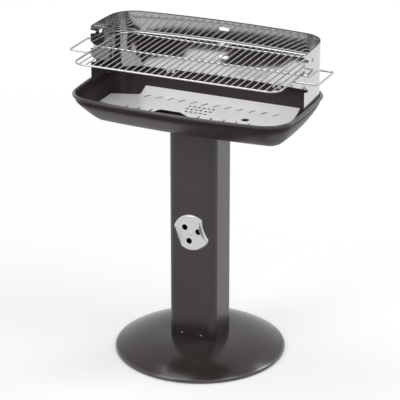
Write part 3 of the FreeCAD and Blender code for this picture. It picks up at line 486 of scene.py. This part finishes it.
class BowedWall:
    """The upright wall whose plan is four bowed sides and four round corners."""

    def __init__(self, sizes):
        self.middle = sizes.bowl_middle
        self.long_centre = sizes.rim_half_depth - sizes.long_side_radius
        self.short_centre = sizes.rim_half_length - sizes.short_side_radius
        self.corner = circles_meet(
            (0, self.long_centre), sizes.long_side_radius - sizes.rim_corner,
            (self.short_centre, 0), sizes.short_side_radius - sizes.rim_corner)
        self.long_turn = math.atan2(self.corner.y - self.long_centre, self.corner.x)
        self.short_turn = math.atan2(self.corner.y, self.corner.x - self.short_centre)

    def outward(self, place):
        """Level direction that is square to the wall at a place on it."""
        x = abs(place.x)
        y = abs(place.y - self.middle)
        turn = math.atan2(y - self.corner.y, x - self.corner.x)
        if turn > self.long_turn:
            turn = math.atan2(y - self.long_centre, x)
        elif turn < self.short_turn:
            turn = math.atan2(y, x - self.short_centre)
        return Vector((math.copysign(math.cos(turn), place.x),
                       math.copysign(math.sin(turn), place.y - self.middle), 0.0))

    def shade_true(self, piece):
        """Shades the sheet as the bowed wall that it is, and its cut edges as flat."""
        mesh = piece.data
        normals = [Vector((0, 0, 1))] * len(mesh.loops)
        for face in mesh.polygons:
            face.use_smooth = True
            way = self.outward(face.center).dot(face.normal)
            for i in face.loop_indices:
                place = mesh.vertices[mesh.loops[i].vertex_index].co
                if abs(way) > SHEET_FACE:
                    normals[i] = self.outward(place) * math.copysign(1.0, way)
                else:
                    normals[i] = face.normal.copy()
        mesh.normals_split_custom_set(normals)


def arc_points(centre, radius, start, end, steps):
    """Points of an arc in the upright plane of a profile."""
    return [(centre[0] + radius * math.cos(start + (end - start) * i / steps),
             centre[1] + radius * math.sin(start + (end - start) * i / steps))
            for i in range(steps + 1)]


def turned_piece(name, profile, sides):
    """Rings drawn out one after another along a profile of (radius, height)."""
    bpy.ops.object.select_all(action="DESELECT")
    bpy.ops.mesh.primitive_circle_add(vertices=sides, radius=profile[0][0],
                                      fill_type="NGON", location=(0, 0, 0))
    piece = bpy.context.active_object
    piece.name = name
    bpy.ops.object.mode_set(mode="EDIT")
    bpy.ops.mesh.select_all(action="SELECT")
    bpy.ops.transform.translate(value=(0, 0, profile[0][1]))
    for (r0, z0), (r1, z1) in zip(profile, profile[1:]):
        bpy.ops.mesh.extrude_region_move(TRANSFORM_OT_translate={"value": (0, 0, z1 - z0)})
        bpy.ops.transform.resize(value=(r1 / r0, r1 / r0, 1), center_override=(0, 0, z1))
    bpy.ops.mesh.select_all(action="SELECT")
    bpy.ops.mesh.normals_make_consistent(inside=False)
    bpy.ops.object.mode_set(mode="OBJECT")
    bpy.ops.object.shade_smooth_by_angle(angle=bpy.context.scene.barbecue_sizes.crease)
    return piece


class BARBECUE_OT_foot_plate(bpy.types.Operator):
    """Turns the dished foot plate with its curled edge"""

    bl_idname = "barbecue.foot_plate"
    bl_label = "Foot plate"

    def execute(self, context):
        sizes = context.scene.barbecue_sizes
        top = FOOT_TOP
        curl_radius = sizes.foot_curl
        curl = (FOOT_RADIUS - curl_radius, curl_radius - sizes.foot_curl_flat)
        run = curl[0] - sizes.foot_seat
        rise = top - curl[1]
        dome_radius = (run * run + rise * rise - curl_radius ** 2) / (2 * (rise - curl_radius))
        dome = (sizes.foot_seat, top - dome_radius)
        join = math.atan2(curl[1] - dome[1], curl[0] - dome[0])
        end = FOOT_CURL_END
        sheet = sizes.foot_sheet
        outside = arc_points(dome, dome_radius, math.pi / 2, join, DOME_STEPS)
        outside += arc_points(curl, curl_radius, join, end, CURL_STEPS)[1:]
        inside = arc_points(curl, curl_radius - sheet, end, join, CURL_INSIDE_STEPS)
        inside += arc_points(dome, dome_radius - sheet, join, math.pi / 2, DOME_STEPS)[1:]
        profile = [(FOOT_CENTRE_RADIUS, top), *outside, *inside,
                   (FOOT_CENTRE_RADIUS, top - sheet)]
        profile = [(r, max(z, 0.0)) for r, z in profile]
        piece = turned_piece("foot_plate_dished", profile, sizes.foot_sides)
        weighted(piece)
        finish_piece(piece, "foot_enamel")
        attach(piece, body_of_node("base_plate"))
        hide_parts("base_plate")
        return {"FINISHED"}


class BARBECUE_OT_column(bpy.types.Operator):
    """Finishes the folded column, its seam rivets and both brackets"""

    bl_idname = "barbecue.column"
    bl_label = "Column"

    def execute(self, context):
        smooth_node("column", "column_folded", "dark_enamel")
        smooth_node("column_seam_rivets", "seam_rivets_domed", "dark_enamel")
        finish_node("column_head_bracket", "zinc_plating")
        finish_node("foot_bracket", "zinc_plating")
        return {"FINISHED"}


class BARBECUE_OT_vent(bpy.types.Operator):
    """Finishes the turning air vent"""

    bl_idname = "barbecue.vent"
    bl_label = "Air vent"

    def execute(self, context):
        smooth_node("vent_disc", "vent_disc_pressed", "vent_steel")
        smooth_node("vent_rivet", "vent_rivet_domed", "zinc_plating")
        finish_node("vent_spring_washer", "zinc_plating")
        return {"FINISHED"}


class BARBECUE_OT_fire_bowl(bpy.types.Operator):
    """Finishes the drawn fire bowl with its curled rim"""

    bl_idname = "barbecue.fire_bowl"
    bl_label = "Fire bowl"

    def execute(self, context):
        smooth_node("fire_bowl", "fire_bowl_drawn", "bowl_enamel")
        return {"FINISHED"}


class BARBECUE_OT_charcoal_tray(bpy.types.Operator):
    """Finishes the loose charcoal tray"""

    bl_idname = "barbecue.charcoal_tray"
    bl_label = "Charcoal tray"

    def execute(self, context):
        smooth_node("charcoal_tray", "charcoal_tray_pressed", "tray_steel")
        return {"FINISHED"}


class BARBECUE_OT_wind_shield(bpy.types.Operator):
    """Finishes the polished wind shield"""

    bl_idname = "barbecue.wind_shield"
    bl_label = "Wind shield"

    def execute(self, context):
        shield = smooth_node("wind_shield", "wind_shield_polished", "shield_steel")
        BowedWall(context.scene.barbecue_sizes).shade_true(shield)
        return {"FINISHED"}


class BARBECUE_OT_cooking_grid(bpy.types.Operator):
    """Finishes the chromed frame, wires, rods and hook of the cooking grid"""

    bl_idname = "barbecue.cooking_grid"
    bl_label = "Cooking grid"

    def execute(self, context):
        for node, name in (("grid_frame", "grid_frame_bent"),
                           ("grid_wires", "grid_wires_drawn"),
                           ("grid_carrying_rod", "carrying_rod_bent"),
                           ("grid_rear_rod", "rear_rod_drawn"),
                           ("grid_rear_hook", "rear_hook_bent")):
            smooth_node(node, name, "grid_chrome")
        return {"FINISHED"}


class BARBECUE_OT_spot_welds(bpy.types.Operator):
    """Sets a spot weld where each grid wire crosses a rod"""

    bl_idname = "barbecue.spot_welds"
    bl_label = "Spot welds"

    def execute(self, context):
        sizes = context.scene.barbecue_sizes
        bpy.ops.object.select_all(action="DESELECT")
        bpy.ops.mesh.primitive_uv_sphere_add(segments=10, ring_count=6, radius=0.5,
                                             location=(0, 0, 0))
        weld = bpy.context.active_object
        bpy.ops.object.mode_set(mode="EDIT")
        bpy.ops.mesh.select_all(action="SELECT")
        bpy.ops.transform.resize(
            value=(sizes.weld_length, sizes.weld_width, sizes.weld_height))
        bpy.ops.object.mode_set(mode="OBJECT")
        half = (FRAME_HIGH.x - FRAME_LOW.x) / 2 - FRAME_WIRE_RADIUS
        pitch = 2 * half / (sizes.wire_count + 1)
        rods = (((REAR_ROD_LOW.y + REAR_ROD_HIGH.y) / 2, REAR_ROD_HIGH.x),
                (CARRYING_ROD_Y, half))
        copies = []
        for rod_y, reach in rods:
            for i in range(sizes.wire_count):
                x = -half + pitch * (i + 1)
                if abs(x) > reach:
                    continue
                copy = bpy.data.objects.new("weld", weld.data.copy())
                bpy.context.scene.collection.objects.link(copy)
                copy.location = (x, rod_y, ROD_TOP)
                copies.append(copy)
        bpy.data.objects.remove(weld)
        bpy.ops.object.select_all(action="DESELECT")
        for copy in copies:
            copy.select_set(True)
        bpy.context.view_layer.objects.active = copies[0]
        bpy.ops.object.join()
        piece = bpy.context.active_object
        piece.name = "grid_spot_welds"
        bpy.ops.object.transform_apply(location=True, rotation=True, scale=True)
        bpy.ops.object.shade_smooth()
        finish_piece(piece, "grid_chrome")
        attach(piece, body_of_node("grid_wires"))
        return {"FINISHED"}


class BARBECUE_OT_fasteners(bpy.types.Operator):
    """Finishes the screws, bolts, washers and nuts"""

    bl_idname = "barbecue.fasteners"
    bl_label = "Fasteners"

    def execute(self, context):
        smooth_node("column_foot_screws", "foot_screws_domed", "dull_zinc")
        smooth_node("shield_screws", "shield_screws_domed", "black_zinc")
        finish_node("shield_nuts", "black_zinc")
        for node in ("base_bolts", "base_washers", "base_nuts", "bowl_bolts", "bowl_washers",
                     "bowl_nut_washers", "bowl_nuts"):
            finish_node(node, "zinc_plating")
        return {"FINISHED"}


def soft_lamp(name, place, aim, size, power):
    """A square lamp that faces its aim point."""
    bpy.ops.object.select_all(action="DESELECT")
    bpy.ops.object.light_add(type="AREA", location=place)
    lamp = bpy.context.active_object
    lamp.name = name
    lamp.data.shape = "SQUARE"
    lamp.data.size = size
    lamp.data.energy = power
    lamp.rotation_mode = "QUATERNION"
    lamp.rotation_quaternion = (Vector(aim) - Vector(place)).to_track_quat("-Z", "Y")


class BARBECUE_OT_stage(bpy.types.Operator):
    """Sets the floor, the soft studio light and the camera"""

    bl_idname = "barbecue.stage"
    bl_label = "Stage"

    def execute(self, context):
        stage = context.scene.barbecue_stage
        self.floor(stage)
        self.world(stage)
        for name, place, aim_height, side in LAMPS:
            soft_lamp(name, place, (0, 0, aim_height), side, getattr(stage, name))
        back = Vector((math.sin(stage.azimuth) * math.cos(stage.elevation),
                       -math.cos(stage.azimuth) * math.cos(stage.elevation),
                       math.sin(stage.elevation)))
        bpy.ops.object.select_all(action="DESELECT")
        bpy.ops.object.camera_add(location=Vector(stage.aim) + back * stage.distance)
        camera = bpy.context.active_object
        camera.name = "product_camera"
        camera.rotation_mode = "QUATERNION"
        camera.rotation_quaternion = (-back).to_track_quat("-Z", "Y")
        camera.data.sensor_width = 36.0
        camera.data.lens = stage.lens
        camera.data.dof.use_dof = False
        context.scene.camera = camera
        context.scene.view_settings.view_transform = "Standard"
        return {"FINISHED"}

    def floor(self, stage):
        bpy.ops.object.select_all(action="DESELECT")
        bpy.ops.mesh.primitive_plane_add(size=FLOOR_SIDE, location=(0, 0, 0))
        floor = bpy.context.active_object
        floor.name = "studio_floor"
        bpy.ops.object.mode_set(mode="EDIT")
        bpy.ops.mesh.subdivide(number_cuts=7)
        bpy.ops.object.mode_set(mode="OBJECT")
        finish = Finish("floor_white", Roughness=1.0, Specular_IOR_Level=0.0)
        grain = finish.noise(40.0, 2.0)
        # Painted shade: towards the front the floor turns grey, in colour and in glow, for the
        # wind shield to mirror
        out_of_painted_shade = finish.rise(finish.along("Y"), FLOOR_PAINTED_SHADE_FULL, FLOOR_PAINTED_SHADE_END,
                           interpolation_type="SMOOTHSTEP")
        paper = finish.between(grain, *PAPER_COLOURS)
        finish.surface(Base_Color=finish.between(out_of_painted_shade, PAINTED_FRONT_SHADE, paper))
        reach = finish.node("ShaderNodeVectorMath", {"operation": "LENGTH"},
                            {0: finish.place}, "Value")
        far = finish.rise(reach, FLOOR_LIFT_NEAR, FLOOR_LIFT_FULL,
                          interpolation_type="SMOOTHSTEP")
        glow = finish.tree.nodes.new("ShaderNodeEmission")
        # In that painted shade in front the glow also drops to NEAR_LIFT
        finish.feed(glow.inputs["Color"], finish.between(far * out_of_painted_shade, NEAR_LIFT, WHITE))
        finish.feed(glow.inputs["Strength"], finish.seen() * stage.floor_lift)
        both = finish.tree.nodes.new("ShaderNodeAddShader")
        finish.tree.links.new(finish.shader.outputs[0], both.inputs[0])
        finish.tree.links.new(glow.outputs[0], both.inputs[1])
        out = finish.tree.nodes["Material Output"]
        finish.tree.links.new(both.outputs[0], out.inputs["Surface"])
        floor.data.materials.append(finish.material)

    def world(self, stage):
        world = bpy.data.worlds.new("studio_world")
        world.use_nodes = True
        bpy.context.scene.world = world
        sky = Nodes(world.node_tree)
        background = sky.tree.nodes["Background"]
        background.inputs["Color"].default_value = (*WHITE, 1.0)
        seen = sky.seen()
        sky.feed(background.inputs["Strength"], seen + (1.0 - seen) * stage.ambient)


class BARBECUE_PT_panel(bpy.types.Panel):
    """Lists the sizes, the colours and the steps"""

    bl_label = "Barbecue"
    bl_idname = "BARBECUE_PT_panel"
    bl_space_type = "VIEW_3D"
    bl_region_type = "UI"
    bl_category = "Barbecue"

    def draw(self, context):
        layout = self.layout
        for title, group in (("Sizes", context.scene.barbecue_sizes),
                             ("Colours", context.scene.barbecue_colours),
                             ("Stage", context.scene.barbecue_stage)):
            box = layout.box()
            box.label(text=title)
            for name in group.__annotations__:
                box.prop(group, name)
        for step in STEPS:
            layout.operator(step.bl_idname)


GROUPS = (BarbecueSizes, BarbecueColours, BarbecueStage)
STEPS = (BARBECUE_OT_foot_plate, BARBECUE_OT_column, BARBECUE_OT_vent, BARBECUE_OT_fire_bowl,
         BARBECUE_OT_charcoal_tray, BARBECUE_OT_wind_shield, BARBECUE_OT_cooking_grid,
         BARBECUE_OT_spot_welds, BARBECUE_OT_fasteners, BARBECUE_OT_stage)


def register():
    for kind in GROUPS + STEPS + (BARBECUE_PT_panel,):
        bpy.utils.register_class(kind)
    bpy.types.Scene.barbecue_sizes = bpy.props.PointerProperty(type=BarbecueSizes)
    bpy.types.Scene.barbecue_colours = bpy.props.PointerProperty(type=BarbecueColours)
    bpy.types.Scene.barbecue_stage = bpy.props.PointerProperty(type=BarbecueStage)


def unregister():
    del bpy.types.Scene.barbecue_stage
    del bpy.types.Scene.barbecue_colours
    del bpy.types.Scene.barbecue_sizes
    for kind in reversed(GROUPS + STEPS + (BARBECUE_PT_panel,)):
        bpy.utils.unregister_class(kind)


def main():
    register()
    bpy.ops.barbecue.foot_plate()
    bpy.ops.barbecue.column()
    bpy.ops.barbecue.vent()
    bpy.ops.barbecue.fire_bowl()
    bpy.ops.barbecue.charcoal_tray()
    bpy.ops.barbecue.wind_shield()
    bpy.ops.barbecue.cooking_grid()
    bpy.ops.barbecue.spot_welds()
    bpy.ops.barbecue.fasteners()
    bpy.ops.barbecue.stage()


if __name__ == "__main__":
    main()
